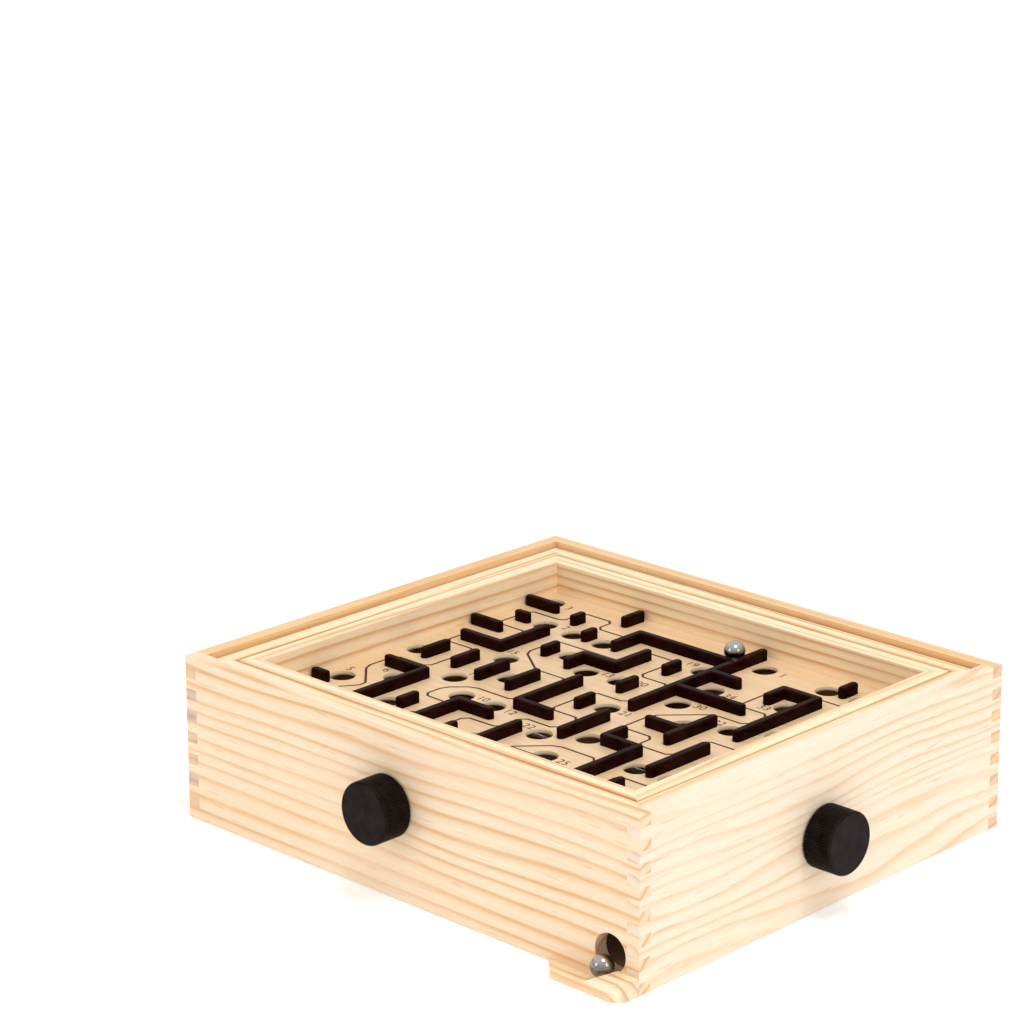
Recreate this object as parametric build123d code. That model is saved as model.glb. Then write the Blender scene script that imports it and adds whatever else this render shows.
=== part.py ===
from build123d import *
import math
import os

# Tilt maze game: a finger-jointed pine box with a maze board hung in two tilting frames.
#
# Millimetres, +Z up. X runs along the long side, and the front, with the exit tray, faces -Y.
# The shapes are laid out about the centre of the box's base. Writing them moves them all so that
# the origin is the bottom centre of the whole part, knobs included. Each sub-part goes to its own
# STEP file.

# ---- driving dimensions ----
BOX_LENGTH = 325.0
BOX_WIDTH = 284.0
BOX_HEIGHT = 91.0
WALL = 8.0
FINGER_COUNT = 15

FRAME_GAP = 1.5
OUTER_STRIP = 9.0
INNER_STRIP = 9.0
FRAME_TOP = 88.0
OUTER_FRAME_BOTTOM = 66.0
INNER_FRAME_BOTTOM = 64.5
STRIP_EDGE_RADIUS = 0.8
PIVOT_HEIGHT = 77.0
PIN_RADIUS = 2.0
RUNNING_CLEARANCE = 0.06

BOARD_TOP = 69.0
BOARD_THICKNESS = 2.0
BOARD_GROOVE = 4.0
HOLE_RADIUS = 7.25
GRID = 23.0
GRID_START = -134.5

MAZE_WALL = 5.0
MAZE_WALL_HEIGHT = 6.0
MAZE_TOP_RADIUS = 1.2

SHAFT_RADIUS = 2.5
FRONT_SHAFT_X = -7.5
FRONT_SHAFT_HEIGHT = 49.6
SIDE_SHAFT_Y = -6.0
SIDE_SHAFT_HEIGHT = 40.2
SHAFT_SOCKET_DEPTH = 5.0
END_PLAY = 0.4

KNOB_RADIUS = 16.7
KNOB_DEPTH = 16.5
KNOB_GAP = 1.0
KNOB_REACH = KNOB_GAP + KNOB_DEPTH
KNOB_RIBS = 72
KNOB_RIB_RADIUS = 0.45
KNOB_RIM_RADIUS = 1.4
KNOB_SHELL = 2.4
KNOB_HUB_RADIUS = 5.5
KNOB_HUB_DEPTH = 12.0
RETAINER_RADIUS = 5.0
RETAINER_THICKNESS = 1.2

FLOOR_THICKNESS = 3.0
FLOOR_SLOPE = 2.0
FLOOR_EXIT_HEIGHT = 6.6
FLOOR_GAP = 0.3
CLEAT_WIDTH = 7.0
CLEAT_DEPTH = 8.0
CLEAT_FOOT = 0.5

EXIT_X = 144.0
EXIT_HEIGHT = 16.5
EXIT_RADIUS = 10.0
TRAY_LEFT = 103.5
TRAY_DEPTH = 14.0
TRAY_HEIGHT = 9.0
TRAY_CORNER = 8.0
TRAY_LEFT_CORNER = 4.0
SCOOP_FLOOR = 0.9
SCOOP_FLAT_END = 130.0
SCOOP_RADIUS = 27.0
SCOOP_SWEEP = 50.0
SCOOP_RISE = 0.2

STRING_RADIUS = 0.4
STRING_TURNS = 4
LOOP_RADIUS = 1.3
LOOP_CLEARANCE = 0.3
EYE_INSET = 3.0
EYE_WIRE = 0.6
EYE_RING = 2.2
EYE_SHANK = 8.0
EYE_DROP = 5.3
SPRING_TURNS = 11
SPRING_COIL = 2.05
SPRING_WIRE = 0.35
SPRING_TAIL_RADIUS = 0.31
SPRING_TAIL_OVERLAP = 0.25
SPRING_PITCH = 1.2
SPRING_REACH = SPRING_TURNS * SPRING_PITCH + 2 * SPRING_COIL
SIDE_STRING_X = 12.0
FRONT_STRING_Y = 4.0

BALL_RADIUS = 6.0
BALL_CLEARANCE = 0.3
MAZE_BALL_X = 17.7
MAZE_BALL_Y = 94.5
EXIT_BALL = (141.8, -145.2, 10.0)

# ---- sizes that follow ----
HALF_LENGTH = BOX_LENGTH / 2
HALF_WIDTH = BOX_WIDTH / 2
INSIDE_LENGTH = BOX_LENGTH - 2 * WALL
INSIDE_WIDTH = BOX_WIDTH - 2 * WALL
FINGER = BOX_HEIGHT / FINGER_COUNT
OUTER_FRAME_LENGTH = INSIDE_LENGTH - 2 * FRAME_GAP
OUTER_FRAME_WIDTH = INSIDE_WIDTH - 2 * FRAME_GAP
INNER_FRAME_LENGTH = OUTER_FRAME_LENGTH - 2 * (OUTER_STRIP + FRAME_GAP)
INNER_FRAME_WIDTH = OUTER_FRAME_WIDTH - 2 * (OUTER_STRIP + FRAME_GAP)
BOARD_LENGTH = INNER_FRAME_LENGTH - 2 * (INNER_STRIP - BOARD_GROOVE)
BOARD_WIDTH = INNER_FRAME_WIDTH - 2 * (INNER_STRIP - BOARD_GROOVE)
STRING_WRAP = SHAFT_RADIUS + STRING_RADIUS

# ---- maze layout: the heights along Y of each hole, column by column ----
HOLE_ROWS = [
    [98, -8, -66],
    [68, -48, -90],
    [67, 13, -26.5, -77],
    [67, 40.5, -7.5, -44, -102.5],
    [28, -44],
    [30, -84],
    [72, -5, -56.5],
    [96, 52, 25, -43.5, -76.5, -101],
    [4],
    [94, 59.5, 14.5, -57.5],
    [94, 25, -57, -101],
]


def line_x(number):
    """X of a grid line, which the maze walls along Y stand on."""
    return GRID_START + GRID * number


# Each wall is a list of runs. A run is (x0, y0, x1, y1) along the middle of the wall.
def along_y(number, low, high):
    """A run on a grid line, measured to the wall's rounded ends."""
    x = line_x(number)
    return (x, low, x, high)


def along_x(y, left, right):
    """A run across the grid lines at one Y, measured to the wall's rounded ends."""
    return (left, y, right, y)


HALF_MAZE_WALL = MAZE_WALL / 2


def left_of(number):
    """The left face of a wall that stands on a grid line."""
    return line_x(number) - HALF_MAZE_WALL


def right_of(number):
    """The right face of a wall that stands on a grid line."""
    return line_x(number) + HALF_MAZE_WALL


SHAPED_WALLS = {
    "long_branched_wall": [
        along_y(7, -0.5, 110.5), along_x(64.5, left_of(7), 48), along_x(36, left_of(7), 75)],
    "start_corner_wall": [along_y(4, 61, 87), along_x(84.5, left_of(4), left_of(7) - 0.1)],
    "zigzag_wall": [along_y(4, 23, 41), along_x(38.5, left_of(4), right_of(5)), along_y(5, 36, 67)],
    "north_west_corner_wall": [along_y(2, 18, 59), along_x(20.5, -119, right_of(2))],
    "south_west_corner_wall": [along_y(2, -93.5, -35), along_x(-37.5, -119, right_of(2))],
    "south_corner_wall": [along_y(4, -93, -55), along_x(-57.5, left_of(4), -17.5)],
    "middle_corner_wall": [along_y(5, -39.5, 12.5), along_x(-37, left_of(5), 6)],
    "step_wall": [
        along_y(8, -46.5, -27.5), along_x(-44, left_of(8), right_of(9)), along_y(9, -93.5, -41.5)],
    "hook_wall": [along_y(9, 55, 73.5), along_x(71, left_of(9), right_of(10)), along_y(10, 3.5, 73.5)],
    "tee_wall": [along_y(9, -24, 16), along_x(-9.5, 46.5, right_of(9))],
    "east_corner_wall": [along_y(11, -17.5, 27), along_x(-15, left_of(11), 131)],
}

STRAIGHT_WALLS = {
    "short_maze_walls": [
        along_y(2, 77, 88),
        along_y(3, 61.5, 73),
        along_y(5, -93.5, -82),
        along_y(3, -110, -101.5),
        along_y(11, -110, -102),
        along_x(64.5, -119.5, -108.5),
        along_x(-78, -133.2, -121),
    ],
    "medium_maze_walls": [
        along_y(3, 94.5, 112),
        along_y(3, 29, 43),
        along_y(3, -80.5, -65),
        along_y(6, 51.5, 66),
        along_y(6, 15, 31.5),
        along_y(6, -17.5, -2.5),
        along_y(10, 89.5, 103.5),
        along_y(10, -93.5, -80),
        along_y(11, 46.5, 65),
        along_x(86.5, 115.5, 131.5),
    ],
    "long_maze_walls": [
        along_y(1, -17.5, 3.5),
        along_y(2, -17.5, 3.5),
        along_y(3, -22.5, 3.5),
        along_y(4, -22.5, 3.5),
        along_y(6, -93.5, -58),
        along_y(7, -54.5, -16),
        along_y(10, -63, -16),
        along_x(87.5, -133.2, -108),
        along_x(43, -133.2, -109.5),
        along_x(-90.5, 27, 52),
    ],
}


def save(name, shape):
    """Move one named sub-part to the shared frame and write it."""
    shape = Pos(-KNOB_REACH / 2, KNOB_REACH / 2, 0) * shape
    shape.label = name
    export_step(shape, f"parts/{name}.step")


def cylinder_between(start, end, radius):
    """A round bar from one point to another."""
    run = Vector(*end) - Vector(*start)
    plane = Plane(origin=start, z_dir=run.normalized())
    return extrude(plane * Circle(radius), run.length)


def group(shapes):
    """Separate solids kept together in one node."""
    return Compound([solid for shape in shapes for solid in shape.solids()])


# ---- box ----
def finger_levels(first):
    """Mid-heights of every other finger, from the first one named."""
    return [FINGER * (i + 0.5) for i in range(first, FINGER_COUNT, 2)]


def long_wall():
    """A wall along X whose odd fingers reach the corners."""
    wall = Pos(0, 0, BOX_HEIGHT / 2) * Box(BOX_LENGTH, WALL, BOX_HEIGHT)
    notch = Box(WALL, WALL, FINGER)
    for z in finger_levels(1):
        for side in (-1, 1):
            wall -= Pos(side * (HALF_LENGTH - WALL / 2), 0, z) * notch
    return wall


def side_wall():
    """A wall along Y whose even fingers reach the corners."""
    wall = Pos(0, 0, BOX_HEIGHT / 2) * Box(WALL, BOX_WIDTH, BOX_HEIGHT)
    notch = Box(WALL, WALL, FINGER)
    for z in finger_levels(0):
        for side in (-1, 1):
            wall -= Pos(0, side * (HALF_WIDTH - WALL / 2), z) * notch
    return wall


def front_wall():
    """The wall with the exit hole and the front knob's shaft hole."""
    wall = Pos(0, -HALF_WIDTH + WALL / 2, 0) * long_wall()
    shaft = (FRONT_SHAFT_X, FRONT_SHAFT_HEIGHT)
    for x, z, radius in ((EXIT_X, EXIT_HEIGHT, EXIT_RADIUS), (*shaft, SHAFT_RADIUS + RUNNING_CLEARANCE)):
        wall -= cylinder_between((x, -HALF_WIDTH - 1, z), (x, -HALF_WIDTH + WALL + 1, z), radius)
    return wall - ball_seat()


def back_wall():
    """The wall whose blind socket carries the front shaft's far end."""
    wall = Pos(0, HALF_WIDTH - WALL / 2, 0) * long_wall()
    mouth = INSIDE_WIDTH / 2
    start = (FRONT_SHAFT_X, mouth - 1, FRONT_SHAFT_HEIGHT)
    end = (FRONT_SHAFT_X, mouth + SHAFT_SOCKET_DEPTH, FRONT_SHAFT_HEIGHT)
    return wall - cylinder_between(start, end, SHAFT_RADIUS + RUNNING_CLEARANCE)


def pivot_socket(side):
    """The blind hole in a side wall for the outer frame's pivot pin."""
    mouth = INSIDE_LENGTH / 2
    start = (side * (mouth - 1), 0, PIVOT_HEIGHT)
    end = (side * (mouth + SHAFT_SOCKET_DEPTH), 0, PIVOT_HEIGHT)
    return cylinder_between(start, end, PIN_RADIUS + RUNNING_CLEARANCE)


def left_wall():
    """The wall whose blind socket carries the side shaft's far end."""
    wall = Pos(-HALF_LENGTH + WALL / 2, 0, 0) * side_wall()
    mouth = -INSIDE_LENGTH / 2
    start = (mouth + 1, SIDE_SHAFT_Y, SIDE_SHAFT_HEIGHT)
    end = (mouth - SHAFT_SOCKET_DEPTH, SIDE_SHAFT_Y, SIDE_SHAFT_HEIGHT)
    wall -= cylinder_between(start, end, SHAFT_RADIUS + RUNNING_CLEARANCE)
    return wall - pivot_socket(-1)


def right_wall():
    """The wall that the side knob's shaft goes through."""
    wall = Pos(HALF_LENGTH - WALL / 2, 0, 0) * side_wall()
    start = (HALF_LENGTH - WALL - 1, SIDE_SHAFT_Y, SIDE_SHAFT_HEIGHT)
    end = (HALF_LENGTH + 1, SIDE_SHAFT_Y, SIDE_SHAFT_HEIGHT)
    wall -= cylinder_between(start, end, SHAFT_RADIUS + RUNNING_CLEARANCE)
    return wall - pivot_socket(1)


def sloped_slab(top_drop, thickness):
    """A large slab that falls towards the exit corner, its top a given drop under the floor's top."""
    reach = 2 * BOX_LENGTH
    slab = Pos(0, 0, -top_drop - thickness / 2) * Box(reach, reach, thickness)
    slab = Rot(FLOOR_SLOPE, FLOOR_SLOPE, 0) * slab
    return Pos(EXIT_X, -INSIDE_WIDTH / 2, FLOOR_EXIT_HEIGHT) * slab


def upright_block(x0, y0, x1, y1):
    """A block over a rectangle of the plan, from just above the ground up."""
    middle = Pos((x0 + x1) / 2, (y0 + y1) / 2, BOX_HEIGHT / 2 + CLEAT_FOOT)
    block = middle * Box(x1 - x0, y1 - y0, BOX_HEIGHT)
    return block


def floor_panel():
    """The hardboard floor that the balls roll down."""
    half_x = INSIDE_LENGTH / 2 - FLOOR_GAP
    half_y = INSIDE_WIDTH / 2 - FLOOR_GAP
    return sloped_slab(0, FLOOR_THICKNESS) & upright_block(-half_x, -half_y, half_x, half_y)


def floor_cleats():
    """The four battens under the floor's edges, by name."""
    half_x = INSIDE_LENGTH / 2
    half_y = INSIDE_WIDTH / 2
    inner_x = half_x - CLEAT_WIDTH
    inner_y = half_y - CLEAT_WIDTH
    plans = {
        "front_floor_cleat": (-half_x, -half_y, half_x, -inner_y),
        "back_floor_cleat": (-half_x, inner_y, half_x, half_y),
        "left_floor_cleat": (-half_x, -inner_y, -inner_x, inner_y),
        "right_floor_cleat": (inner_x, -inner_y, half_x, inner_y),
    }
    slab = sloped_slab(FLOOR_THICKNESS, CLEAT_DEPTH)
    return {name: slab & upright_block(*plan) for name, plan in plans.items()}


def ball_seat():
    """The room that the ball at rest in the exit takes, with its clearance."""
    return Pos(*EXIT_BALL) * Sphere(BALL_RADIUS + BALL_CLEARANCE)


def exit_tray():
    """The block outside the exit hole, scooped out so that a ball comes to rest in it."""
    face = -HALF_WIDTH
    lip = face - TRAY_DEPTH
    outline = Polyline(
        (TRAY_LEFT, face),
        (TRAY_LEFT + TRAY_DEPTH, lip),
        (HALF_LENGTH, lip),
        (HALF_LENGTH, face),
        close=True,
    )
    block = extrude(make_face(outline), TRAY_HEIGHT)
    uprights = block.edges().filter_by(Axis.Z)
    block = fillet(uprights.sort_by_distance((HALF_LENGTH, lip, TRAY_HEIGHT / 2))[0], TRAY_CORNER)
    uprights = block.edges().filter_by(Axis.Z)
    lip_corner = (TRAY_LEFT + TRAY_DEPTH, lip, TRAY_HEIGHT / 2)
    block = fillet(uprights.sort_by_distance(lip_corner)[0], TRAY_LEFT_CORNER)
    above = 3 * TRAY_HEIGHT
    flat = Line((TRAY_LEFT - TRAY_DEPTH, SCOOP_FLOOR), (SCOOP_FLAT_END, SCOOP_FLOOR))
    curve = JernArc(flat @ 1, (1, 0), SCOOP_RADIUS, SCOOP_SWEEP)
    side = Polyline(curve @ 1, ((curve @ 1).X, above), (TRAY_LEFT - TRAY_DEPTH, above), flat @ 0)
    profile = Plane(origin=(0, face, 0), x_dir=(1, 0, 0), z_dir=(0, -1, 0)) * make_face(flat + curve + side)
    scoop = extrude(profile, 2 * TRAY_DEPTH, dir=(0, -1, SCOOP_RISE))
    return block - scoop - ball_seat()


# ---- frames ----
def mitred_strip(length, strip, bottom):
    """A frame strip along X, its outer face at y=0, with mitred ends and softened top edges."""
    outline = Polyline(
        (-length / 2, 0),
        (length / 2, 0),
        (length / 2 - strip, strip),
        (-length / 2 + strip, strip),
        close=True,
    )
    bar = Pos(0, 0, bottom) * extrude(make_face(outline), FRAME_TOP - bottom)
    edges = bar.edges().group_by(Axis.Z)[-1].filter_by(Axis.X)
    return fillet(edges, STRIP_EDGE_RADIUS)


def frame_strips(prefix, length, width, strip, bottom):
    """The four strips of a frame, by name."""
    long_strip = mitred_strip(length, strip, bottom)
    cross_strip = mitred_strip(width, strip, bottom)
    return {
        f"{prefix}_front": Pos(0, -width / 2, 0) * long_strip,
        f"{prefix}_back": Pos(0, width / 2, 0) * Rot(0, 0, 180) * long_strip,
        f"{prefix}_left": Pos(-length / 2, 0, 0) * Rot(0, 0, -90) * cross_strip,
        f"{prefix}_right": Pos(length / 2, 0, 0) * Rot(0, 0, 90) * cross_strip,
    }


def outer_pin(side):
    """A pin from the outer frame into a side wall."""
    inner_end = OUTER_FRAME_LENGTH / 2 - OUTER_STRIP + 2
    outer_end = INSIDE_LENGTH / 2 + SHAFT_SOCKET_DEPTH - END_PLAY
    return cylinder_between(
        (side * inner_end, 0, PIVOT_HEIGHT), (side * outer_end, 0, PIVOT_HEIGHT), PIN_RADIUS)


def inner_pin(side, extra_radius=0.0, extra_length=0.0):
    """A pin from the inner frame into the outer frame, or its socket."""
    inner_end = INNER_FRAME_WIDTH / 2 - INNER_STRIP + 2
    outer_end = INNER_FRAME_WIDTH / 2 + FRAME_GAP + SHAFT_SOCKET_DEPTH + extra_length
    start = (0, side * inner_end, PIVOT_HEIGHT)
    end = (0, side * outer_end, PIVOT_HEIGHT)
    return cylinder_between(start, end, PIN_RADIUS + extra_radius)


def screw_eye(x, y, bottom, turn):
    """A screw eye under a strip. The ring faces along Y at turn 0 and along X at turn 90."""
    ring = Pos(0, 0, -EYE_DROP) * Rot(90, 0, 0) * Torus(EYE_RING, EYE_WIRE)
    neck_end = -EYE_DROP + EYE_RING
    neck = cylinder_between((0, 0, neck_end), (0, 0, EYE_SHANK), EYE_WIRE)
    return Pos(x, y, bottom) * Rot(0, 0, turn) * (ring + neck)


def shank_hole(x, y, bottom):
    """The hole that a screw eye's shank fills."""
    return cylinder_between((x, y, bottom - 1), (x, y, bottom + EYE_SHANK), EYE_WIRE)


def build_frames():
    """Both frames with their pins and screw eyes."""
    outer = frame_strips(
        "outer_frame", OUTER_FRAME_LENGTH, OUTER_FRAME_WIDTH, OUTER_STRIP, OUTER_FRAME_BOTTOM)
    inner = frame_strips(
        "inner_frame", INNER_FRAME_LENGTH, INNER_FRAME_WIDTH, INNER_STRIP, INNER_FRAME_BOTTOM)
    board_middle = Pos(0, 0, BOARD_TOP - BOARD_THICKNESS / 2)
    board_slot = board_middle * Box(BOARD_LENGTH, BOARD_WIDTH, BOARD_THICKNESS)
    for name in inner:
        inner[name] -= board_slot
    eye_y = OUTER_FRAME_WIDTH / 2 - EYE_INSET
    eye_x = INNER_FRAME_LENGTH / 2 - EYE_INSET
    for side, across, along in ((-1, "left", "front"), (1, "right", "back")):
        outer[f"outer_frame_{across}"] -= outer_pin(side)
        inner[f"inner_frame_{along}"] -= inner_pin(side)
        outer[f"outer_frame_{along}"] -= inner_pin(side, RUNNING_CLEARANCE, END_PLAY)
        outer[f"outer_frame_{along}"] -= shank_hole(SIDE_STRING_X, side * eye_y, OUTER_FRAME_BOTTOM)
        inner[f"inner_frame_{across}"] -= shank_hole(side * eye_x, FRONT_STRING_Y, INNER_FRAME_BOTTOM)
    pieces = {**outer, **inner}
    pieces["outer_pivot_pins"] = group(outer_pin(side) for side in (-1, 1))
    pieces["inner_pivot_pins"] = group(inner_pin(side) for side in (-1, 1))
    pieces["outer_frame_screw_eyes"] = group(
        screw_eye(SIDE_STRING_X, side * eye_y, OUTER_FRAME_BOTTOM, 90) for side in (-1, 1)
    )
    pieces["inner_frame_screw_eyes"] = group(
        screw_eye(side * eye_x, FRONT_STRING_Y, INNER_FRAME_BOTTOM, 0) for side in (-1, 1)
    )
    return pieces


# ---- maze ----
def maze_board():
    """The board, with its holes on the middle lines of the grid's columns."""
    board = Pos(0, 0, BOARD_TOP - BOARD_THICKNESS / 2) * Box(BOARD_LENGTH, BOARD_WIDTH, BOARD_THICKNESS)
    centres = [(line_x(column + 0.5), y) for column, rows in enumerate(HOLE_ROWS) for y in rows]
    holes = Locations(*[(x, y, BOARD_TOP - BOARD_THICKNESS / 2) for x, y in centres])
    return board - [place * Cylinder(HOLE_RADIUS, 2 * BOARD_THICKNESS) for place in holes]


def run_plan(run):
    """The plan of one run of a maze wall, with rounded ends."""
    x0, y0, x1, y1 = run
    if x0 == x1:
        return Pos(x0, (y0 + y1) / 2) * SlotOverall(y1 - y0, MAZE_WALL, rotation=90)
    return Pos((x0 + x1) / 2, y0) * SlotOverall(x1 - x0, MAZE_WALL)


def maze_wall(runs):
    """One moulded maze wall: its runs joined, with a rounded top edge."""
    plan = run_plan(runs[0])
    for run in runs[1:]:
        plan += run_plan(run)
    wall = Pos(0, 0, BOARD_TOP) * extrude(plan, MAZE_WALL_HEIGHT)
    return fillet(wall.edges().group_by(Axis.Z)[-1], MAZE_TOP_RADIUS)


# ---- knobs, shafts and strings ----
def knob():
    """A ribbed knob about Z, its open back at z=0 and its face at the top."""
    body = extrude(Circle(KNOB_RADIUS), KNOB_DEPTH)
    body = fillet(body.edges().group_by(Axis.Z)[-1], KNOB_RIM_RADIUS)
    rib_ring = PolarLocations(KNOB_RADIUS, KNOB_RIBS)
    groove_ends = Sketch() + [place * Circle(KNOB_RIB_RADIUS) for place in rib_ring]
    grooves = extrude(groove_ends, KNOB_DEPTH - KNOB_RIM_RADIUS)
    hollow = extrude(Circle(KNOB_RADIUS - KNOB_SHELL), KNOB_HUB_DEPTH)
    hub = extrude(Circle(KNOB_HUB_RADIUS), KNOB_HUB_DEPTH)
    bore = extrude(Circle(SHAFT_RADIUS), KNOB_HUB_DEPTH)
    return body - grooves - hollow + hub - bore


def shaft_set(outer_face, far_mouth):
    """A shaft, its knob and its retainer along +Z, from the outer face of the knob's wall at z=0."""
    inside = WALL
    far_end = inside + far_mouth + SHAFT_SOCKET_DEPTH - END_PLAY
    shaft = Pos(0, 0, outer_face) * extrude(Circle(SHAFT_RADIUS), far_end - outer_face)
    shaft = chamfer(shaft.edges().filter_by(GeomType.CIRCLE), 0.4)
    retainer = extrude(Circle(RETAINER_RADIUS) - Circle(SHAFT_RADIUS), RETAINER_THICKNESS)
    retainer = Pos(0, 0, inside + END_PLAY) * retainer
    turned_knob = Pos(0, 0, -KNOB_GAP) * Rot(180, 0, 0) * knob()
    return {"shaft": shaft, "retainer": retainer, "knob": turned_knob}


def build_shafts():
    """The front shaft along Y and the side shaft along X, with what is fixed to each."""
    knob_seat = -KNOB_GAP - KNOB_HUB_DEPTH
    front_place = Pos(FRONT_SHAFT_X, -HALF_WIDTH, FRONT_SHAFT_HEIGHT) * Rot(-90, 0, 0)
    side_place = Pos(HALF_LENGTH, SIDE_SHAFT_Y, SIDE_SHAFT_HEIGHT) * Rot(0, -90, 0)
    pieces = {}
    runs = (("front", front_place, INSIDE_WIDTH), ("side", side_place, INSIDE_LENGTH))
    for prefix, place, length in runs:
        for name, shape in shaft_set(knob_seat, length).items():
            pieces[f"{prefix}_{name}"] = place * shape
    return pieces


def flat_loop(distance, radius, wire):
    """A loop of wire or cord that lies in the XY plane, centred on the X axis."""
    return Pos(distance, 0, 0) * Torus(radius, wire)


def upright_loop(distance, radius, wire):
    """A loop of wire or cord that stands in the XZ plane, centred on the X axis."""
    return Pos(distance, 0, 0) * Rot(90, 0, 0) * Torus(radius, wire)


def coil_spring():
    """A tension spring along +X whose two flat end loops have their centres on the X axis."""
    path = Helix(pitch=SPRING_PITCH, height=SPRING_TURNS * SPRING_PITCH, radius=SPRING_COIL)
    section = Plane(origin=path @ 0, z_dir=path % 0) * Circle(SPRING_WIRE)
    coil = Rot(90, 0, 0) * Rot(0, 90, 0) * sweep(section, path=path, is_frenet=True)
    spring = Pos(SPRING_COIL, 0, 0) * coil
    tail = SPRING_COIL + SPRING_TAIL_OVERLAP
    for loop_centre, tail_end in ((0.0, tail), (SPRING_REACH, SPRING_REACH - tail)):
        loop = flat_loop(loop_centre, SPRING_COIL, SPRING_WIRE)
        start = (loop_centre, SPRING_COIL, 0)
        loop += cylinder_between(start, (tail_end, SPRING_COIL, 0), SPRING_TAIL_RADIUS)
        spring += loop
    return spring


def string_and_spring(shaft_height, reaches, eye_height):
    """A string wound on a shaft at x=0 in the XZ plane, and the spring at the end of its left leg.

    reaches are the distances from the shaft to the eye on the -X side and on the +X side.
    """
    winding_length = STRING_TURNS * 2 * STRING_RADIUS
    winding_end = Circle(STRING_WRAP + STRING_RADIUS) - Circle(SHAFT_RADIUS)
    winding = extrude(winding_end, winding_length / 2, both=True)
    string = Pos(0, 0, shaft_height) * Rot(90, 0, 0) * winding
    hooked = EYE_RING - EYE_WIRE - SPRING_WIRE - LOOP_CLEARANCE + SPRING_COIL
    linked = SPRING_COIL - SPRING_WIRE - STRING_RADIUS - LOOP_CLEARANCE + LOOP_RADIUS
    for side, reach in ((-1, reaches[0]), (1, reaches[1])):
        rise = eye_height - shaft_height
        distance = math.hypot(reach, rise)
        slant = math.atan2(rise, reach) + math.asin(STRING_WRAP / distance)
        length = math.sqrt(distance**2 - STRING_WRAP**2)
        sprung = side < 0
        spring_start = length - hooked - SPRING_REACH
        loop_centre = spring_start - linked if sprung else length - EYE_RING
        turn = Rot(0, -math.degrees(slant), 0)
        leg = cylinder_between((0, 0, 0), (loop_centre - LOOP_RADIUS, 0, 0), STRING_RADIUS)
        make_loop = upright_loop if sprung else flat_loop
        leg += make_loop(loop_centre, LOOP_RADIUS, STRING_RADIUS)
        start = Pos(side * STRING_WRAP * math.sin(slant), 0, shaft_height - STRING_WRAP * math.cos(slant))
        facing = Rot(0, 0, 90 - 90 * side)
        string += start * facing * turn * leg
        if sprung:
            spring = start * facing * turn * Pos(spring_start, 0, 0) * coil_spring()
    return string, spring


def build_strings():
    """The two tilt strings and their springs."""
    eye_y = OUTER_FRAME_WIDTH / 2 - EYE_INSET
    eye_x = INNER_FRAME_LENGTH / 2 - EYE_INSET
    front_reaches = (eye_x + FRONT_SHAFT_X, eye_x - FRONT_SHAFT_X)
    side_reaches = (eye_y + SIDE_SHAFT_Y, eye_y - SIDE_SHAFT_Y)
    front = string_and_spring(FRONT_SHAFT_HEIGHT, front_reaches, INNER_FRAME_BOTTOM - EYE_DROP)
    side = string_and_spring(SIDE_SHAFT_HEIGHT, side_reaches, OUTER_FRAME_BOTTOM - EYE_DROP)
    front_place = Pos(FRONT_SHAFT_X, FRONT_STRING_Y, 0)
    side_place = Pos(SIDE_STRING_X, SIDE_SHAFT_Y, 0) * Rot(0, 0, 90)
    return {
        "inner_frame_string": front_place * front[0],
        "inner_frame_spring": front_place * front[1],
        "outer_frame_string": side_place * side[0],
        "outer_frame_spring": side_place * side[1],
    }


def balls():
    """The ball on the maze and the ball in the tray, by name."""
    ball_height = BOARD_TOP + BALL_RADIUS + BALL_CLEARANCE
    return {
        "maze_ball": Pos(MAZE_BALL_X, MAZE_BALL_Y, ball_height) * Sphere(BALL_RADIUS),
        "exit_ball": Pos(*EXIT_BALL) * Sphere(BALL_RADIUS),
    }


def main():
    """Build every sub-part and write it."""
    os.makedirs("parts", exist_ok=True)
    pieces = {
        "front_wall": front_wall(),
        "back_wall": back_wall(),
        "left_wall": left_wall(),
        "right_wall": right_wall(),
        "floor_panel": floor_panel(),
        "exit_tray": exit_tray(),
        "maze_board": maze_board(),
    }
    pieces.update(floor_cleats())
    pieces.update(build_frames())
    pieces.update({name: maze_wall(runs) for name, runs in SHAPED_WALLS.items()})
    for name, runs in STRAIGHT_WALLS.items():
        pieces[name] = group(maze_wall([run]) for run in runs)
    pieces.update(build_shafts())
    pieces.update(build_strings())
    pieces.update(balls())
    for name, shape in pieces.items():
        save(name, shape)


main()
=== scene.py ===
"""Looks of the tilt maze game: pine box and frames, printed board, ribbed knobs and steel balls."""
import math

import bmesh
import bpy
from mathutils import Matrix, Vector


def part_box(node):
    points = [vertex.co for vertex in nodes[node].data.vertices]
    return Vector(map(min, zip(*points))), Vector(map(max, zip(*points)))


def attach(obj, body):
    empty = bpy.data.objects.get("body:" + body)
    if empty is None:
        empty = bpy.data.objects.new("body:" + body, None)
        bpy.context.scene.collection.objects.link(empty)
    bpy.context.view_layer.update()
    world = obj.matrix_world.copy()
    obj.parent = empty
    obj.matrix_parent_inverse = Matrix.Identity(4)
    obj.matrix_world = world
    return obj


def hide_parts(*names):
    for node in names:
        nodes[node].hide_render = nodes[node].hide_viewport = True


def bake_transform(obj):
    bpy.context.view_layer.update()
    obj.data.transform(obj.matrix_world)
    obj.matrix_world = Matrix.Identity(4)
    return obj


MM = 0.001

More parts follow.
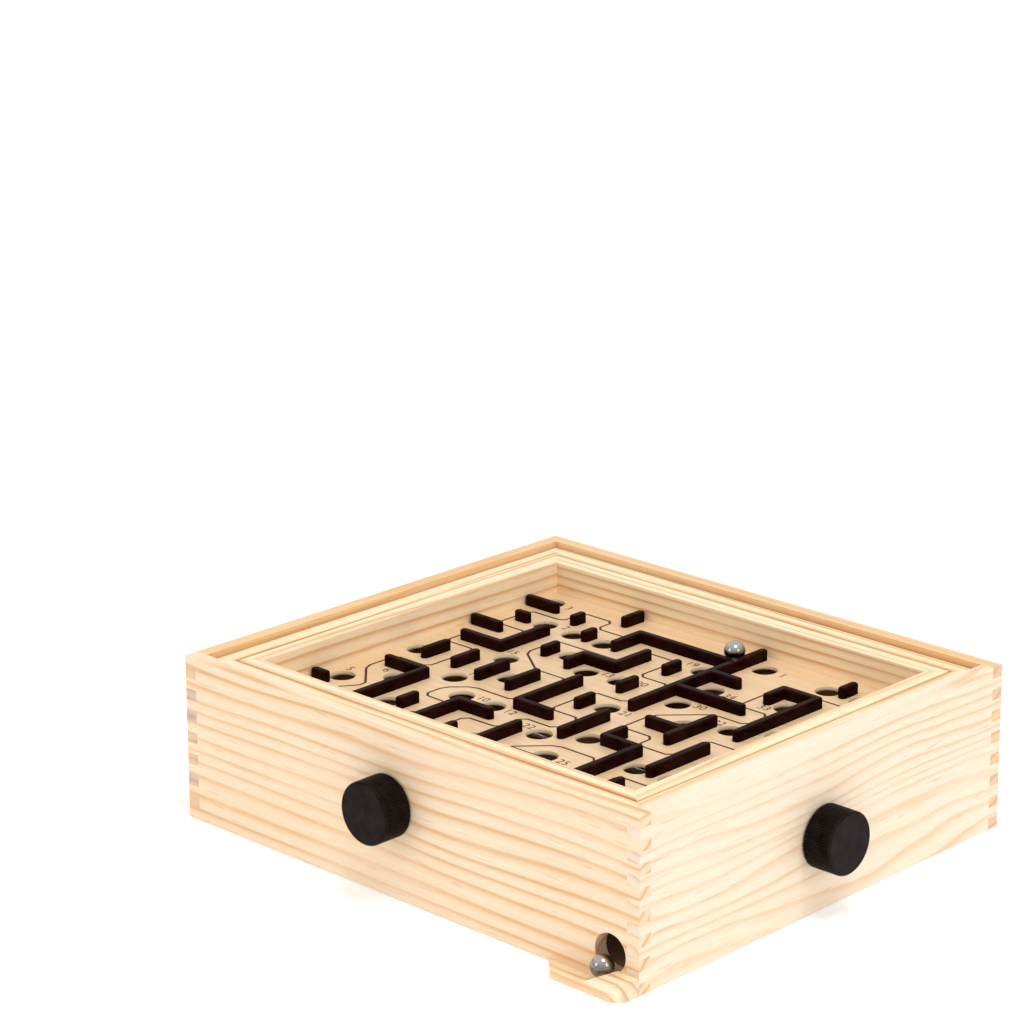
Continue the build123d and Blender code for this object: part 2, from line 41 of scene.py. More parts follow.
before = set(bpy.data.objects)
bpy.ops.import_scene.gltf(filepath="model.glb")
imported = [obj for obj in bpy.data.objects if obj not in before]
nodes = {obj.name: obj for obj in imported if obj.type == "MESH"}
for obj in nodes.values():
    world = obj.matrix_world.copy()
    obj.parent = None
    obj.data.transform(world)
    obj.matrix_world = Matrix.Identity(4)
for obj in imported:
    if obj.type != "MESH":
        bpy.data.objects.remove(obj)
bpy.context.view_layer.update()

# ---- sizes read from the frame ----
board_low, board_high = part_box("maze_board")
board_middle = (board_low + board_high) / 2
board_reach = (board_high - board_low) / 2
opening_low = Vector((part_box("inner_frame_left")[1].x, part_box("inner_frame_front")[1].y))
opening_high = Vector((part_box("inner_frame_right")[0].x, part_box("inner_frame_back")[0].y))
opening_reach = (opening_high - opening_low) / 2
BOARD_TOP = board_high.z
BOARD_THICKNESS = board_high.z - board_low.z
X, Y, Z = 0, 1, 2

# ---- camera ----
CAMERA_PLACE = Vector((1.12756, -1.21056, 0.69382))
CAMERA_FORWARD = Vector((-0.64945, 0.71543, -0.25763))
CAMERA_UP = Vector((-0.17689, 0.18737, 0.96623))
CAMERA_LENS = 117.6
CAMERA_SENSOR = 36.0
CAMERA_SHIFT = (-0.1207, -0.1388)

# ---- wood colours ----
# Four tones of early wood, the late wood of the growth lines, warm patches, end grain and flecks. The
# honey tone is darker and more orange as painted warm shade, and the bright tone lighter as painted
# light.
PINE_PALE = (0.90, 0.75, 0.555)
PINE_WHITE = (0.89, 0.76, 0.605)
PINE_SHADED_HONEY = (0.83, 0.60, 0.35)
PINE_PAINTED_LIGHT = (1.0, 0.82, 0.57)
PINE_LINE = (0.66, 0.33, 0.105)
PINE_WARM = (0.82, 0.51, 0.235)
PINE_END = (0.68, 0.50, 0.39)
PINE_END_LINE = (0.47, 0.29, 0.20)
PINE_FLECK = (0.40, 0.26, 0.17)


class Shader:
    """A material's node tree, with short calls for the nodes used here."""

    def __init__(self, name, **settings):
        self.material = bpy.data.materials.new(name)
        self.material.use_nodes = True
        self.tree = self.material.node_tree
        self.surface = self.tree.nodes["Principled BSDF"]
        self.coordinates = self.tree.nodes.new("ShaderNodeTexCoord")
        for socket, value in settings.items():
            self.surface.inputs[socket.replace("_", " ")].default_value = value

    def put(self, socket, value):
        """Feed a socket from another node's output, or set it to a constant."""
        if isinstance(value, bpy.types.NodeSocket):
            self.tree.links.new(value, socket)
        elif isinstance(value, tuple) and len(value) == 3 and socket.type == "RGBA":
            socket.default_value = (*value, 1.0)
        else:
            socket.default_value = value

    def math(self, operation, first, second=0.0, clamp=False):
        node = self.tree.nodes.new("ShaderNodeMath")
        node.operation = operation
        node.use_clamp = clamp
        self.put(node.inputs[0], first)
        self.put(node.inputs[1], second)
        return node.outputs[0]

    def split(self, vector):
        node = self.tree.nodes.new("ShaderNodeSeparateXYZ")
        self.put(node.inputs[0], vector)
        return list(node.outputs)

    def stretched(self, scales, offset):
        """The object's own coordinates, moved by an offset and scaled along each axis."""
        node = self.tree.nodes.new("ShaderNodeMapping")
        self.put(node.inputs["Vector"], self.coordinates.outputs["Object"])
        node.inputs["Location"].default_value = offset
        node.inputs["Scale"].default_value = scales
        return node.outputs[0]

    def noise(self, vector, scale, detail=2.0, roughness=0.5):
        node = self.tree.nodes.new("ShaderNodeTexNoise")
        self.put(node.inputs["Vector"], vector)
        node.inputs["Scale"].default_value = scale
        node.inputs["Detail"].default_value = detail
        node.inputs["Roughness"].default_value = roughness
        return node.outputs["Fac"]

    def ramp(self, value, stops):
        """A grey or coloured ramp. A stop is (place, grey) or (place, colour)."""
        node = self.tree.nodes.new("ShaderNodeValToRGB")
        elements = node.color_ramp.elements
        while len(elements) < len(stops):
            elements.new(1.0)
        for element, (place, shade) in zip(elements, stops):
            element.position = place
            element.color = (shade, shade, shade, 1.0) if isinstance(shade, float) else (*shade, 1.0)
        self.put(node.inputs[0], value)
        return node.outputs["Color"]

    def mix(self, factor, first, second, blend="MIX"):
        node = self.tree.nodes.new("ShaderNodeMix")
        node.data_type = "RGBA"
        node.blend_type = blend
        self.put(node.inputs["Factor"], factor)
        self.put(node.inputs[6], first)
        self.put(node.inputs[7], second)
        return node.outputs[2]

    def facing(self, axis):
        """How squarely the surface faces one of its own axes, from 0 to 1."""
        return self.math("ABSOLUTE", self.split(self.coordinates.outputs["Normal"])[axis])

    def colour(self, value):
        self.put(self.surface.inputs["Base Color"], value)

    def roughness(self, value):
        self.put(self.surface.inputs["Roughness"], value)

    def bump(self, height, depth, strength=1.0):
        """Raise the surface by a height of 0 to 1 times a depth in metres."""
        node = self.tree.nodes.new("ShaderNodeBump")
        node.inputs["Strength"].default_value = strength
        node.inputs["Distance"].default_value = depth
        self.put(node.inputs["Height"], height)
        self.put(self.surface.inputs["Normal"], node.outputs[0])


def along(axis, lengthways, across):
    """Scales that differ along the grain from across it."""
    return tuple(lengthways if i == axis else across for i in range(3))


def pine(name, grain, pith, ring=9 * MM, wander=9 * MM, seed=0.0, lines=1.0, warmth=0.3,
         end_tint=1.0, pale=PINE_PALE):
    """Pine with growth rings about a line along the grain. pith is where that line runs, in metres.

    ring is the rings' spacing and wander how far they bend. lines is how strongly they show, warmth
    how orange the wood is, and end_tint how dark its end grain is, each from 0 to about 1. pale is
    the colour between the lines, and seed picks the stretch of wood.
    """
    s = Shader(name, Coat_Weight=0.08, Coat_Roughness=0.35, Specular_IOR_Level=0.4)
    offset = (seed, seed * 1.7, seed * 0.6)
    drift = s.noise(s.stretched(along(grain, 0.24, 1.0), offset), 17.0, 1.5)
    ripple = s.noise(s.stretched(along(grain, 0.3, 1.0), offset), 85.0, 2.0)
    shift = s.math("MULTIPLY", s.math("SUBTRACT", drift, 0.5), wander * 4)
    shift = s.math("ADD", shift, s.math("MULTIPLY", ripple, 1.6 * MM))
    place = s.split(s.coordinates.outputs["Object"])
    square = []
    for axis in range(3):
        if axis != grain:
            reach = s.math("ADD", s.math("SUBTRACT", place[axis], pith[axis]), shift)
            square.append(s.math("MULTIPLY", reach, reach))
    radius = s.math("SQRT", s.math("ADD", square[0], square[1]))
    uneven = s.noise(s.stretched(along(grain, 0.02, 1.0), offset), 38.0, 0.0)
    rings = s.math("ADD", s.math("DIVIDE", radius, ring), s.math("MULTIPLY", uneven, 2.4))
    phase = s.math("FRACT", rings)
    line = s.ramp(phase, [(0.0, 0.15), (0.35, 0.0), (0.62, 0.30), (0.84, 1.0), (0.92, 0.80), (1.0, 0.15)])
    fading = s.noise(s.stretched(along(grain, 0.35, 1.0), offset), 24.0, 2.0)
    share = s.math("MULTIPLY", line, s.ramp(fading, [(0.33, 0.35 * lines), (0.60, lines)]), clamp=True)
    tone = s.mix(share, pale, PINE_LINE)
    patches = s.noise(s.stretched(along(grain, 0.25, 1.0), offset), 30.0, 3.0)
    tone = s.mix(s.ramp(patches, [(0.30, 0.35 * warmth), (0.70, warmth)]), tone, PINE_WARM)
    fibre = s.noise(s.stretched(along(grain, 0.05, 1.0), offset), 1500.0, 3.0, 0.6)
    tone = s.mix(s.ramp(fibre, [(0.3, 0.16), (0.6, 0.0)]), tone, PINE_LINE)
    streaks = s.noise(s.stretched(along(grain, 0.07, 1.0), offset), 620.0, 1.0)
    tone = s.mix(s.ramp(streaks, [(0.66, 0.0), (0.74, 0.26)]), tone, PINE_FLECK)
    pores = s.noise(s.coordinates.outputs["Object"], 1900.0, 2.0)
    end = s.mix(s.math("MULTIPLY", line, 0.8), PINE_END, PINE_END_LINE)
    end = s.mix(s.ramp(pores, [(0.35, 0.3), (0.6, 0.0)]), end, PINE_END_LINE)
    finger = s.noise(s.stretched((1.0, 1.0, 1.0), offset), 75.0, 0.0)
    tint = s.ramp(finger, [(0.35, 0.3 * end_tint), (0.62, end_tint)])
    is_end = s.math("MULTIPLY", s.ramp(s.facing(grain), [(0.75, 0.0), (0.9, 1.0)]), tint)
    s.colour(s.mix(is_end, tone, end))
    s.roughness(s.ramp(s.mix(0.5, fibre, line), [(0.2, 0.52), (0.8, 0.40)]))
    s.bump(s.math("ADD", s.math("MULTIPLY", fibre, 0.6), s.math("MULTIPLY", line, 0.4)), 0.05 * MM, 0.6)
    return s.material


def hardboard():
    """Smooth brown pressed fibre."""
    s = Shader("hardboard", Specular_IOR_Level=0.35)
    speckle = s.noise(s.coordinates.outputs["Object"], 900.0, 4.0, 0.7)
    cloud = s.noise(s.coordinates.outputs["Object"], 25.0, 3.0)
    tone = s.mix(s.ramp(speckle, [(0.3, 0.0), (0.7, 1.0)]), (0.20, 0.095, 0.045), (0.36, 0.20, 0.105))
    s.colour(s.mix(s.ramp(cloud, [(0.3, 0.0), (0.8, 0.4)]), tone, (0.24, 0.12, 0.06)))
    s.roughness(s.ramp(speckle, [(0.3, 0.5), (0.7, 0.62)]))
    s.bump(speckle, 0.06 * MM, 0.5)
    return s.material


def board_wood():
    """The board's pale veneer, with the ply layers showing in the cut edges of the holes.

    The layers are painted brighter than the veneer, painted light on those shaded walls, and
    grow darker towards the bottom.
    """
    s = Shader("board", Coat_Weight=0.12, Coat_Roughness=0.3, Specular_IOR_Level=0.4)
    streak = s.noise(s.stretched(along(X, 0.06, 1.0), (0.3, 0.0, 0.1)), 240.0, 3.0, 0.55)
    fibre = s.noise(s.stretched(along(X, 0.04, 1.0), (0.1, 0.0, 0.1)), 1700.0, 2.0)
    cloud = s.noise(s.coordinates.outputs["Object"], 14.0, 3.0)
    tone = s.mix(s.ramp(streak, [(0.3, 0.0), (0.7, 1.0)]), (0.70, 0.475, 0.262), (0.79, 0.57, 0.338))
    tone = s.mix(s.ramp(cloud, [(0.35, 0.0), (0.75, 0.3)]), tone, (0.79, 0.52, 0.278))
    tone = s.mix(s.ramp(fibre, [(0.3, 0.18), (0.55, 0.0)]), tone, (0.52, 0.33, 0.20))
    height = s.split(s.coordinates.outputs["Object"])[Z]
    layer = s.math("MULTIPLY", s.math("SUBTRACT", BOARD_TOP, height), 1 / BOARD_THICKNESS, clamp=True)
    # Painted light: the hole walls' layers are brighter than the veneer, standing in for light on walls
    # in shade; darker towards the bottom.
    plies_with_painted_light = s.ramp(layer, [(0.0, (1.0, 0.86, 0.64)), (0.55, (0.98, 0.80, 0.56)),
                           (0.70, (0.80, 0.55, 0.32)), (1.0, (0.55, 0.34, 0.18))])
    cut = s.ramp(s.facing(Z), [(0.3, 1.0), (0.6, 0.0)])
    s.colour(s.mix(cut, tone, plies_with_painted_light))
    s.roughness(s.ramp(fibre, [(0.3, 0.5), (0.7, 0.38)]))
    s.bump(fibre, 0.03 * MM, 0.5)
    return s.material


def maze_plastic():
    """Very dark brown glossy moulded plastic."""
    s = Shader("maze_plastic", Specular_IOR_Level=0.02)
    cloud = s.noise(s.coordinates.outputs["Object"], 120.0, 3.0)
    fine = s.noise(s.coordinates.outputs["Object"], 900.0, 3.0)
    s.colour(s.ramp(cloud, [(0.3, (0.0055, 0.0006, 0.0005)), (0.75, (0.0230, 0.0042, 0.0028))]))
    s.roughness(s.ramp(fine, [(0.3, 0.10), (0.75, 0.18)]))
    s.bump(s.mix(0.3, cloud, fine), 0.03 * MM, 0.35)
    return s.material


def knob_plastic():
    """Near-black moulded plastic with a faint mottling."""
    s = Shader("knob_plastic", Specular_IOR_Level=0.05)
    cloud = s.noise(s.coordinates.outputs["Object"], 160.0, 4.0, 0.6)
    fine = s.noise(s.coordinates.outputs["Object"], 2600.0, 3.0)
    s.colour(s.ramp(cloud, [(0.3, (0.0040, 0.0020, 0.0019)), (0.75, (0.0170, 0.0110, 0.0100))]))
    s.roughness(s.ramp(cloud, [(0.3, 0.26), (0.75, 0.46)]))
    s.bump(fine, 0.02 * MM, 0.5)
    return s.material


def steel(name, tone, low, high, grain_scale, side_painted_reflection=1.0):
    """Bright steel whose roughness wanders between two values.

    The last argument is a painted dark reflection: it darkens the faces that look sideways, as a
    polished ball's are among dark walls.
    """
    s = Shader(name, Metallic=1.0)
    smear = s.noise(s.coordinates.outputs["Object"], 180.0, 3.0)
    fine = s.noise(s.coordinates.outputs["Object"], grain_scale, 3.0)
    metal = s.mix(s.ramp(smear, [(0.35, 0.0), (0.8, 0.5)]), tone, tuple(0.78 * c for c in tone))
    # Painted dark reflection: faces that look sideways are darkened, standing in for the dark walls
    # mirrored.
    shade = s.ramp(s.facing(Z), [(0.1, side_painted_reflection), (0.75, 1.0)])
    s.colour(s.mix(1.0, metal, shade, "MULTIPLY"))
    s.roughness(s.ramp(smear, [(0.3, low), (0.8, high)]))
    s.bump(fine, 0.008 * MM, 0.4)
    return s.material


def cord_fibre():
    """Thin dark braided cord."""
    s = Shader("string", Sheen_Weight=0.3)
    twist = s.noise(s.coordinates.outputs["Object"], 3200.0, 2.0)
    s.colour(s.ramp(twist, [(0.3, (0.035, 0.03, 0.025)), (0.7, (0.12, 0.105, 0.085))]))
    s.roughness(s.ramp(twist, [(0.3, 0.85), (0.7, 0.7)]))
    s.bump(twist, 0.12 * MM, 0.8)
    return s.material


def ink():
    """Dark red-brown printing ink, a little uneven."""
    s = Shader("print_ink", Specular_IOR_Level=0.3)
    uneven = s.noise(s.coordinates.outputs["Object"], 1400.0, 3.0)
    s.colour(s.ramp(uneven, [(0.3, (0.045, 0.007, 0.008)), (0.75, (0.085, 0.015, 0.014))]))
    s.roughness(s.ramp(uneven, [(0.3, 0.45), (0.7, 0.6)]))
    return s.material


def paper_floor():
    """A plain white studio floor."""
    s = Shader("studio_floor", Specular_IOR_Level=0.1)
    tooth = s.noise(s.coordinates.outputs["Object"], 40.0, 2.0)
    s.colour(s.ramp(tooth, [(0.3, (0.90, 0.90, 0.90)), (0.7, (0.925, 0.925, 0.925))]))
    s.roughness(0.9)
    s.put(s.surface.inputs["Emission Color"], (1.0, 1.0, 1.0))
    s.put(s.surface.inputs["Emission Strength"], 0.26)
    return s.material


def dress(names, material):
    """Give CAD nodes a material."""
    for name in names:
        mesh = nodes[name].data
        mesh.materials.clear()
        mesh.materials.append(material)


def soften(names, width):
    """Take the sharpness off a node's edges."""
    for name in names:
        bevel = nodes[name].modifiers.new("softened_edges", "BEVEL")
        bevel.width = width
        bevel.segments = 2
        bevel.limit_method = "ANGLE"
        bevel.angle_limit = math.radians(50)
        bevel.harden_normals = True


# ---- CAD nodes ----
box_low, box_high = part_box("front_wall")
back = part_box("back_wall")[1].y
EDGE_SOFTNESS = 0.35 * MM

# The back and left walls take the honey pine and much warmth: painted warm shade, as their faces that
# show are the box's shaded inside.
WALL_PINES = {
    "front_wall": dict(
        grain=X, pith=(0, box_low.y + 0.055, -0.060), ring=6.9 * MM, wander=12 * MM,
        seed=0.31, lines=0.95, end_tint=0.35),
    "back_wall": dict(
        grain=X, pith=(0, back - 0.060, 0.160), ring=6 * MM,
        seed=1.27, warmth=0.8, end_tint=0.6, pale=PINE_SHADED_HONEY),
    "left_wall": dict(
        grain=Y, pith=(box_low.x + 0.050, 0, -0.070), ring=6 * MM,
        seed=2.45, warmth=0.9, pale=PINE_SHADED_HONEY),
    "right_wall": dict(
        grain=Y, pith=(box_high.x - 0.060, 0, -0.110), ring=7.6 * MM,
        seed=3.62, lines=0.55, warmth=0.15, end_tint=0.3, pale=PINE_WHITE),
}
for wall, choice in WALL_PINES.items():
    dress([wall], pine(f"pine_{wall}", **choice))

# The grain of each side's strip. Each strip is cut from a different stretch of wood.
STRIP_SIDES = {"front": X, "back": X, "left": Y, "right": Y}
for number, body in enumerate(("outer_frame", "inner_frame")):
    for order, (side, grain) in enumerate(STRIP_SIDES.items()):
        strip_low, strip_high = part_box(f"{body}_{side}")
        pith = (strip_low + strip_high) / 2 + Vector((0.055, 0.055, -0.035 - 0.02 * order))
        seed = 5.1 + 1.3 * order + 6.7 * number
        # The strips take the brightened pine: painted light on their inner faces, which stand in the
        # box's shade.
        strip_pine = pine(
            f"pine_{body}_{side}", grain, tuple(pith), ring=5 * MM, wander=5 * MM,
            seed=seed, warmth=0.25, pale=PINE_PAINTED_LIGHT)
        dress([f"{body}_{side}"], strip_pine)

tray_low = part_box("exit_tray")[0]
tray_pith = (0, tray_low.y - 0.03, tray_low.z - 0.02)
# The tray takes the same brightened copy of the pine, painted light.
tray_pine = pine(
    "pine_tray", X, tray_pith, ring=5 * MM, wander=4 * MM,
    seed=9.4, warmth=0.15, pale=PINE_PAINTED_LIGHT)
dress(["exit_tray"], tray_pine)
CLEAT_PITH = (0.05, 0.05, -0.06)
for order, (side, grain) in enumerate(STRIP_SIDES.items()):
    cleat_pine = pine(f"pine_cleat_{side}", grain, CLEAT_PITH, seed=14.0 + order)
    dress([f"{side}_floor_cleat"], cleat_pine)

dress(["floor_panel"], hardboard())
dress(["maze_board"], board_wood())
wall_names = [name for name in nodes if name.endswith(("_wall", "_maze_walls"))]
maze_walls = [name for name in wall_names if name not in WALL_PINES]
dress(maze_walls, maze_plastic())
dress(["front_knob", "side_knob"], knob_plastic())
bright_steel = steel("steel", (0.62, 0.61, 0.60), 0.22, 0.38, 1500.0)
dress(["front_shaft", "side_shaft", "front_retainer", "side_retainer"], bright_steel)
dress(["outer_pivot_pins", "inner_pivot_pins"], bright_steel)
dress(["outer_frame_screw_eyes", "inner_frame_screw_eyes"], bright_steel)
dress(["outer_frame_spring", "inner_frame_spring"], bright_steel)
# The balls' steel carries a painted dark reflection on its sideways faces.
ball_steel = steel("ball_steel", (0.56, 0.53, 0.49), 0.05, 0.12, 300.0, side_painted_reflection=0.25)
dress(["maze_ball", "exit_ball"], ball_steel)
soften(WALL_PINES, EDGE_SOFTNESS)


# ---- strings: a winding that stays on its shaft, and two legs ----
WINDING_REACH = 4.5 * MM
LOOP_REACH = 5 * MM
SHAFT_CLEAR_OF = 2.7 * MM
SHAFT_EASE = 0.08 * MM
string_cord = cord_fibre()


def point_on(axis, place):
    """The point at a place along an axis."""
    return [place if i == axis else 0.0 for i in range(3)]


def string_piece(node, name, low_cut, high_cut, axis):
    """A copy of a string's mesh, kept between two cuts across its run. A cut of None keeps the end."""
    shape = bmesh.new()
    shape.from_mesh(nodes[node].data)
    shape.transform(nodes[node].matrix_world)
    for cut, side in ((low_cut, -1), (high_cut, 1)):
        if cut is not None:
            everything = shape.verts[:] + shape.edges[:] + shape.faces[:]
            sliced = bmesh.ops.bisect_plane(
                shape, geom=everything, plane_co=point_on(axis, cut), plane_no=point_on(axis, side),
                clear_outer=True)
            rim = [part for part in sliced["geom_cut"] if isinstance(part, bmesh.types.BMEdge)]
            bmesh.ops.edgeloop_fill(shape, edges=rim)
    mesh = bpy.data.meshes.new(name)
    shape.to_mesh(mesh)
    shape.free()
    mesh.materials.append(string_cord)
    piece = bpy.data.objects.new(name, mesh)
    bpy.context.scene.collection.objects.link(piece)
    return piece


def flexing_string(node, shaft, axis):
    """Replace a string with a winding on its shaft and two legs cut from the rest of it."""
    core = (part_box(shaft)[0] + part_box(shaft)[1]) / 2
    low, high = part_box(node)
    cuts = (core[axis] - WINDING_REACH, core[axis] + WINDING_REACH)
    winding = string_piece(node, f"{node}_winding", cuts[0], cuts[1], axis)
    for vertex in winding.data.vertices:
        outward = vertex.co - core
        outward[Y if axis == X else X] = 0.0
        if outward.length < SHAFT_CLEAR_OF:
            vertex.co += outward.normalized() * SHAFT_EASE
    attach(winding, "box")
    legs = (("low", (None, cuts[0]), cuts[0], low[axis] + LOOP_REACH),
            ("high", (cuts[1], None), cuts[1], high[axis] - LOOP_REACH))
    pieces = [winding]
    for name, leg_cuts, start, end in legs:
        leg = string_piece(node, f"{node}_{name}_leg", *leg_cuts, axis)
        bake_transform(leg)
        pieces.append(leg)
    for piece in pieces:
        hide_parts(node)


flexing_string("outer_frame_string", "side_shaft", Y)
flexing_string("inner_frame_string", "front_shaft", X)

# ---- print on the board: the route and the numbers beside the holes ----
INK_HEIGHT = BOARD_TOP + 0.04 * MM
ROUTE_WIDTH = 1.4 * MM
ROUTE_CHAMFER = 3.0 * MM
LABEL_SIZE = 7.8 * MM
HOLE_RADIUS = 7.25 * MM
SNAP = 0.1 * MM
PROBE = 50 * MM

# A number is tried at these bearings round its hole. Its distance from the hole and half its own
# size are in millimetres, across and up the board.
LABEL_BEARINGS = 16
LABEL_DISTANCE = (12.8, 11.0)
LABEL_REACH = (3.8, 2.6)
LABEL_EDGE_MARGIN = 3 * MM
LABEL_ROOM_ENOUGH = 3.5 * MM

# The route in millimetres from the middle of the board.
ROUTE = [
    (17, 96), (-52, 96.5), (-52, 83.5), (-75, 83.5), (-75, 97.5), (-98, 97.5), (-98, 80),
    (-123, 80), (-123, 52.5), (-99.5, 52.5), (-99.5, 32), (-123, 32), (-123, 12), (-100, 12),
    (-100, -24.5), (-124.5, -24.5), (-124.5, -47), (-104, -67), (-118, -87), (-118, -106),
    (-83, -106), (-80, -99), (-52, -74.5), (-52, -56.5), (-70.5, -56), (-70.5, -41), (-59, -30),
    (-30, -30), (-30, 12), (-53.5, 12), (-76.5, 28.5), (-76.5, 53), (-28, 53), (-28, 73), (-6, 73),
    (-6, 43), (16, 43), (16, 8), (-6.5, 8), (-6.5, -26), (15, -26), (15, -45), (-7.5, -45),
    (-7.5, -64), (-30.5, -64.5), (-30.5, -106.5), (15, -106.5), (15, -79.5), (33, -61.5),
    (61, -61.5), (61, -106.5), (84, -106.5), (84, -71), (110, -71), (124, -59), (124, -42),
    (107.5, -42), (107.5, -4.5), (84, -4.5), (84, -33), (61.5, -33), (61.5, -20), (39, -20),
    (39, 3.5), (62, 26), (84, 26), (84, 45), (62.5, 45), (62.5, 81), (109, 81), (109, 39.5),
    (125, 39.5), (125, 104),
]


def flat_mesh(name, corners, faces):
    """A flat mesh on the board, in the board's ink."""
    mesh = bpy.data.meshes.new(name)
    mesh.from_pydata(corners, [], faces)
    mesh.materials.append(ink_material)
    piece = bpy.data.objects.new(name, mesh)
    bpy.context.scene.collection.objects.link(piece)
    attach(piece, "inner_frame")
    return piece


def chamfered(points, cut):
    """The line with each of its corners cut off."""
    line = [points[0]]
    for before, corner, after in zip(points, points[1:], points[2:]):
        for neighbour in (before, after):
            leg = neighbour - corner
            line.append(corner + leg.normalized() * min(cut, leg.length / 2))
    return line + [points[-1]]


def ribbon(points, width):
    """Corners and faces of a flat line with mitred joints."""
    corners = []
    for i, point in enumerate(points):
        before = (point - points[i - 1]).normalized() if i else None
        after = (points[i + 1] - point).normalized() if i + 1 < len(points) else None
        heading = ((before or after) + (after or before)).normalized()
        side = Vector((-heading.y, heading.x))
        reach = width / 2 / max(0.5, abs(heading.dot(after or before)))
        for sign in (-1, 1):
            corners.append((*(point + side * reach * sign), INK_HEIGHT))
    faces = [(2 * i, 2 * i + 2, 2 * i + 3, 2 * i + 1) for i in range(len(points) - 1)]
    return corners, faces


ink_material = ink()
middle = Vector((board_middle.x, board_middle.y))
route = chamfered([middle + Vector(point) * MM for point in ROUTE], ROUTE_CHAMFER)
flat_mesh("printed_route", *ribbon(route, ROUTE_WIDTH))


def hole_centres():
    """Centres of the board's round holes, from the faces of their walls."""
    mesh = nodes["maze_board"].data
    links = {}
    for polygon in mesh.polygons:
        inside = (polygon.center - board_middle).to_2d()
        at_edge = max(abs(inside.x) / board_reach.x, abs(inside.y) / board_reach.y) > 0.99
        if abs(polygon.normal.z) < 0.5 and not at_edge:
            rim = [mesh.vertices[v].co.xy for v in polygon.vertices]
            spots = [tuple(round(c / SNAP) for c in point) for point in rim]
            for spot in spots:
                links.setdefault(spot, set()).update(spots)
    centres = []
    while links:
        ring, waiting = set(), [next(iter(links))]
        while waiting:
            spot = waiting.pop()
            if spot in links:
                ring.add(spot)
                waiting.extend(links.pop(spot))
        across, up = zip(*ring)
        centres.append(Vector(((min(across) + max(across)) / 2, (min(up) + max(up)) / 2)) * SNAP)
    return centres


def distance_to_route(point):
    """How far a point is from the printed route, and how far along the route its nearest point lies."""
    nearest, place, walked = 1.0, 0.0, 0.0
    for start, end in zip(route, route[1:]):
        leg = end - start
        share = min(1.0, max(0.0, (point - start).dot(leg) / leg.length_squared))
        gap = (start + leg * share - point).length
        if gap < nearest:
            nearest, place = gap, walked + share * leg.length
        walked += leg.length
    return nearest, place


def under_wall(point):
    """Whether a maze wall stands on this point of the board."""
    above, down = Vector((point.x, point.y, BOARD_TOP + PROBE)), Vector((0, 0, -1))
    return any(nodes[name].ray_cast(above, down, distance=PROBE)[0] for name in maze_walls)


def label_place(hole, holes):
    """The best free place beside a hole for its number."""
    best, best_room = None, -1.0
    for step in range(LABEL_BEARINGS):
        bearing = math.radians(360 / LABEL_BEARINGS * step)
        away = Vector((math.cos(bearing) * LABEL_DISTANCE[0], math.sin(bearing) * LABEL_DISTANCE[1]))
        place = hole + away * MM
        corners = [(i * LABEL_REACH[0], j * LABEL_REACH[1]) for i in (-1, 0, 1) for j in (-1, 0, 1)]
        spots = [place + Vector(corner) * MM for corner in corners]
        if any(under_wall(spot) for spot in spots):
            continue
        off_middle = place - middle
        from_edge = min(opening_reach.x - abs(off_middle.x), opening_reach.y - abs(off_middle.y))
        from_holes = min((other - place).length for other in holes) - HOLE_RADIUS
        from_route = min(distance_to_route(spot)[0] for spot in spots)
        room = min(from_edge - LABEL_EDGE_MARGIN, from_holes, from_route, LABEL_ROOM_ENOUGH)
        if room > best_room:
            best, best_room = place, room
    return best


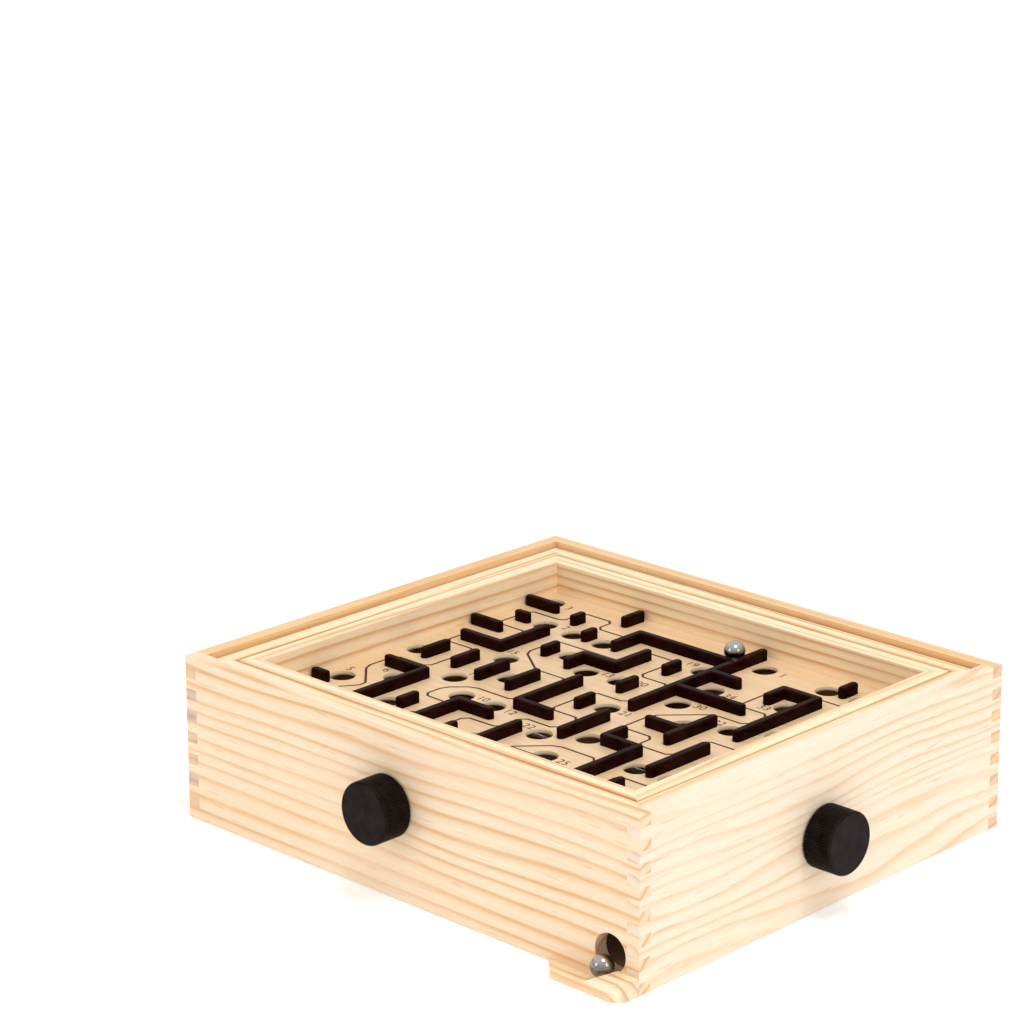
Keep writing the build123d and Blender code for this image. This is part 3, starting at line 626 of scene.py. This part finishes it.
holes = sorted(hole_centres(), key=lambda hole: distance_to_route(hole)[1])
label_corners, label_faces = [], []
for number, hole in enumerate(holes, start=1):
    place = label_place(hole, holes)
    if place is None:
        continue
    words = bpy.data.curves.new("number", "FONT")
    words.body = str(number)
    words.size = LABEL_SIZE
    words.align_x = "CENTER"
    words.align_y = "CENTER"
    text = bpy.data.objects.new("number", words)
    outline = text.to_mesh()
    first = len(label_corners)
    label_corners += [(place.x + v.co.x, place.y + v.co.y, INK_HEIGHT) for v in outline.vertices]
    label_faces += [tuple(first + v for v in polygon.vertices) for polygon in outline.polygons]
    text.to_mesh_clear()
    bpy.data.objects.remove(text)
flat_mesh("printed_numbers", label_corners, label_faces)

# ---- camera, light and floor ----
camera_data = bpy.data.cameras.new("camera")
camera_data.lens = CAMERA_LENS
camera_data.sensor_width = CAMERA_SENSOR
camera_data.shift_x, camera_data.shift_y = CAMERA_SHIFT
camera_data.clip_end = 20.0
camera = bpy.data.objects.new("camera", camera_data)
right = CAMERA_FORWARD.cross(CAMERA_UP)
turn = Matrix((right, CAMERA_UP, -CAMERA_FORWARD)).transposed()
camera.matrix_world = Matrix.Translation(CAMERA_PLACE) @ turn.to_4x4()
bpy.context.scene.collection.objects.link(camera)
bpy.context.scene.camera = camera


def softbox(name, place, target, size, power):
    """A square area light aimed at a point."""
    data = bpy.data.lights.new(name, "AREA")
    data.shape = "RECTANGLE"
    data.size, data.size_y = size
    data.energy = power
    light = bpy.data.objects.new(name, data)
    light.location = place
    light.rotation_euler = (Vector(target) - Vector(place)).to_track_quat("-Z", "Y").to_euler()
    bpy.context.scene.collection.objects.link(light)


MIDDLE = (0.0, 0.0, 0.05)
softbox("key_light", (0.5, -0.1, 1.6), MIDDLE, (0.6, 0.6), 11.0)
softbox("front_light", (-0.7, -1.9, 0.9), MIDDLE, (0.6, 0.9), 3.6)
softbox("side_light", (2.0, -0.1, 1.0), MIDDLE, (0.6, 0.9), 3.3)

world = bpy.data.worlds.new("studio")
world.use_nodes = True
world.node_tree.nodes["Background"].inputs["Color"].default_value = (1.0, 1.0, 1.0, 1.0)
world.node_tree.nodes["Background"].inputs["Strength"].default_value = 0.83
bpy.context.scene.world = world
bpy.context.scene.view_settings.view_transform = "Standard"

FLOOR_SIZE = 12.0
FLOOR_DROP = 0.5 * MM
bpy.ops.mesh.primitive_plane_add(size=FLOOR_SIZE, location=(0, 0, -FLOOR_DROP))
floor = bpy.context.object
floor.name = "studio_floor"
floor.data.materials.append(paper_floor())
